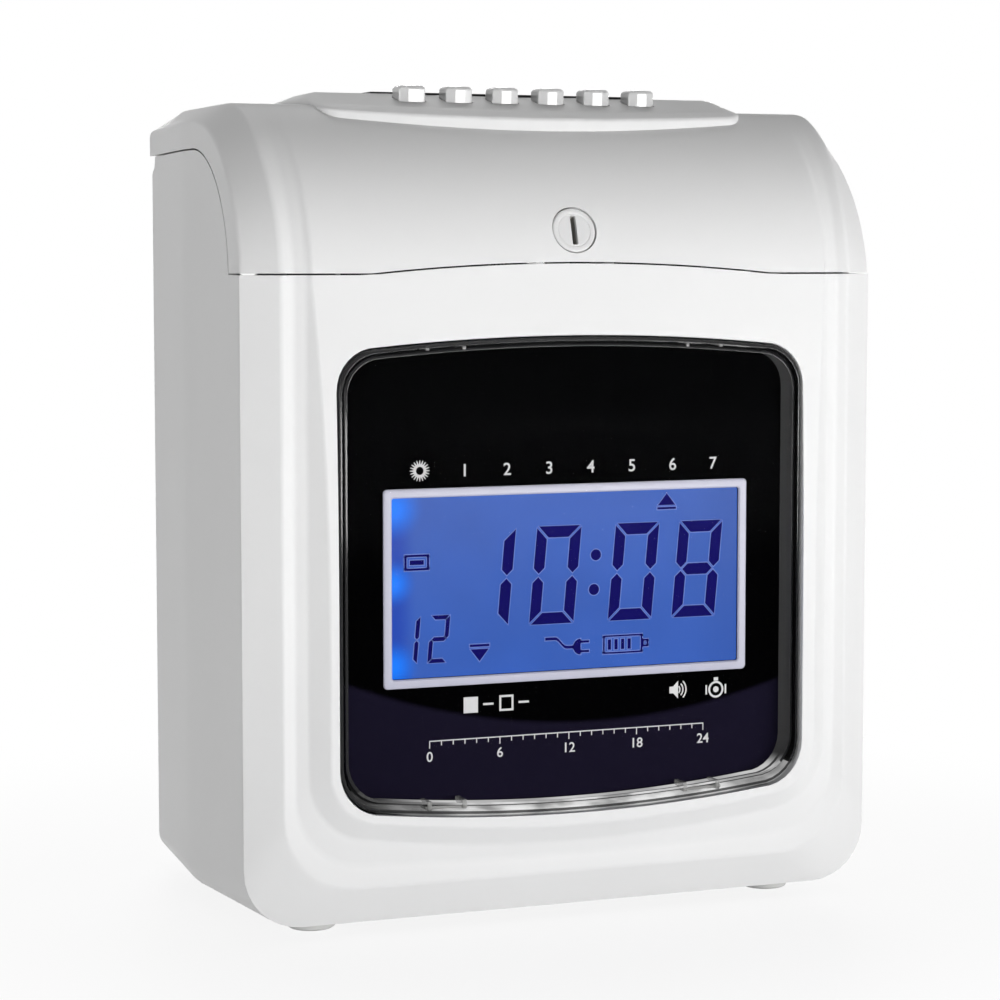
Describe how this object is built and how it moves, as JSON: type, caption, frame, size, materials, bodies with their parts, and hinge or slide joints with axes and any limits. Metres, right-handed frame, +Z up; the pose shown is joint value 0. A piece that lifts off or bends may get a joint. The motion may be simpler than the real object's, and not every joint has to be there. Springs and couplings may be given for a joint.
{
  "type": "time clock",
  "caption": "Desktop time clock that prints on punch cards, with a curved lockable lid, a raised console of push buttons and a card slot, and a clear window over a digital display.",
  "frame": {"origin": "centre of the footprint on the surface that the feet stand on", "axes": "+X to the right of someone who faces the display, +Y to the back, +Z up"},
  "size_m": [0.196, 0.1297, 0.2421],
  "materials": {
    "case_white": "glossy",
    "bezel_white": "glossy",
    "button_white": "satin",
    "clear_cover": "clear",
    "panel_black": "glossy",
    "frame_lilac": "satin",
    "lcd_blue": "backlit",
    "light_white": "matte",
    "board_green": "satin",
    "part_black": "matte",
    "part_grey": "matte",
    "steel": "brushed",
    "zinc_sheet": "satin",
    "rubber_black": "matte",
    "foot_pale": "satin",
    "gear_ivory": "satin",
    "core_iron": "lacquered",
    "coil_tape": "satin",
    "cell_wrap": "satin",
    "lock_metal": "polished",
    "lock_face": "satin"
  },
  "bodies": {
    "base": {"rear_case": "case_white", "front_bezel": "bezel_white", "window_cover": "clear_cover", "display_panel": "panel_black", "lcd_frame": "frame_lilac", "lcd_glass": "lcd_blue", "backlight": "light_white", "display_board": "board_green", "hinge_pins": "steel", "feet": "foot_pale", "case_screws": "steel", "power_inlet": "part_black", "inlet_pins": "steel", "printer_frame": "zinc_sheet", "card_guide_front": "part_grey", "card_guide_rear": "part_grey", "platen": "rubber_black", "guide_shafts": "steel", "belt_motor": "steel", "drive_belt": "rubber_black", "feed_motor": "steel", "ribbon_cassette": "part_black", "ink_ribbon": "part_black", "card_stop": "part_grey", "main_board": "board_green", "board_chips": "part_black", "buzzer": "part_black", "transformer_core": "core_iron", "transformer_coil": "coil_tape", "battery_pack": "cell_wrap"},
    "lid": {"lid_cover": "case_white", "console": "bezel_white", "card_slot_surround": "part_black", "keypad_board": "board_green", "key_switches": "part_grey", "lock_housing": "lock_metal"},
    "lock": {"lock_plug": "lock_face", "lock_cam": "lock_metal"},
    "key_1": {"button_1": "button_white"},
    "key_2": {"button_2": "button_white"},
    "key_3": {"button_3": "button_white"},
    "key_4": {"button_4": "button_white"},
    "key_5": {"button_5": "button_white"},
    "key_6": {"button_6": "button_white"},
    "head_carriage": {"carriage": "part_grey", "print_head": "steel"},
    "belt_drive": {"drive_pulley": "gear_ivory"},
    "belt_idler": {"idler_pulley": "gear_ivory"},
    "card_feed": {"feed_gear": "gear_ivory", "feed_shaft": "steel", "feed_tyres": "rubber_black"},
    "card_pinch": {"pinch_shaft": "steel", "pinch_rollers": "gear_ivory"},
    "feed_drive": {"feed_pinion": "gear_ivory"},
    "ribbon_wheel": {"ribbon_knob": "part_grey"}
  },
  "joints": [
    {"name": "lid_hinge", "type": "hinge", "parent": "base", "child": "lid", "pos_m": [0, 0.06085, 0.2235], "axis": [-1, 0, 0], "range_deg": [0, 100]},
    {"name": "lock_turn", "type": "hinge", "parent": "lid", "child": "lock", "pos_m": [0, -0.05921, 0.2002], "axis": [0, -0.9556, 0.2945], "range_deg": [0, 90]},
    {"name": "key_1_press", "type": "slide", "parent": "lid", "child": "key_1", "axis": [0, 0, -1], "range_m": [0, 0.0012], "stiffness_N_per_m": 250, "springref_m": -0.0008},
    {"name": "key_2_press", "type": "slide", "parent": "lid", "child": "key_2", "axis": [0, 0, -1], "range_m": [0, 0.0012], "stiffness_N_per_m": 250, "springref_m": -0.0008},
    {"name": "key_3_press", "type": "slide", "parent": "lid", "child": "key_3", "axis": [0, 0, -1], "range_m": [0, 0.0012], "stiffness_N_per_m": 250, "springref_m": -0.0008},
    {"name": "key_4_press", "type": "slide", "parent": "lid", "child": "key_4", "axis": [0, 0, -1], "range_m": [0, 0.0012], "stiffness_N_per_m": 250, "springref_m": -0.0008},
    {"name": "key_5_press", "type": "slide", "parent": "lid", "child": "key_5", "axis": [0, 0, -1], "range_m": [0, 0.0012], "stiffness_N_per_m": 250, "springref_m": -0.0008},
    {"name": "key_6_press", "type": "slide", "parent": "lid", "child": "key_6", "axis": [0, 0, -1], "range_m": [0, 0.0012], "stiffness_N_per_m": 250, "springref_m": -0.0008},
    {"name": "carriage_slide", "type": "slide", "parent": "base", "child": "head_carriage", "axis": [1, 0, 0], "range_m": [-0.032, 0.032]},
    {"name": "belt_drive_turn", "type": "hinge", "parent": "base", "child": "belt_drive", "pos_m": [-0.05, -0.02815, 0.172], "axis": [0, 0, 1], "range_deg": [-310, 310]},
    {"name": "belt_idler_turn", "type": "hinge", "parent": "base", "child": "belt_idler", "pos_m": [0.05, -0.02815, 0.172], "axis": [0, 0, 1], "range_deg": [-310, 310]},
    {"name": "card_feed_turn", "type": "hinge", "parent": "base", "child": "card_feed", "pos_m": [0, 0.00105, 0.162], "axis": [1, 0, 0], "continuous": true},
    {"name": "card_pinch_turn", "type": "hinge", "parent": "base", "child": "card_pinch", "pos_m": [0, -0.01235, 0.162], "axis": [1, 0, 0], "continuous": true},
    {"name": "feed_drive_turn", "type": "hinge", "parent": "base", "child": "feed_drive", "pos_m": [0.07, 0.01945, 0.162], "axis": [1, 0, 0], "continuous": true},
    {"name": "ribbon_wheel_turn", "type": "hinge", "parent": "base", "child": "ribbon_wheel", "pos_m": [0.046, -0.03565, 0.214], "axis": [0, 0, 1], "continuous": true}
  ],
  "couplings": [
    {"joint": "belt_drive_turn", "follows": "carriage_slide", "rad_per_m": -166.67},
    {"joint": "belt_idler_turn", "follows": "carriage_slide", "rad_per_m": -166.67},
    {"joint": "card_pinch_turn", "follows": "card_feed_turn", "ratio": -1.1667},
    {"joint": "feed_drive_turn", "follows": "card_feed_turn", "ratio": -3.6}
  ]
}
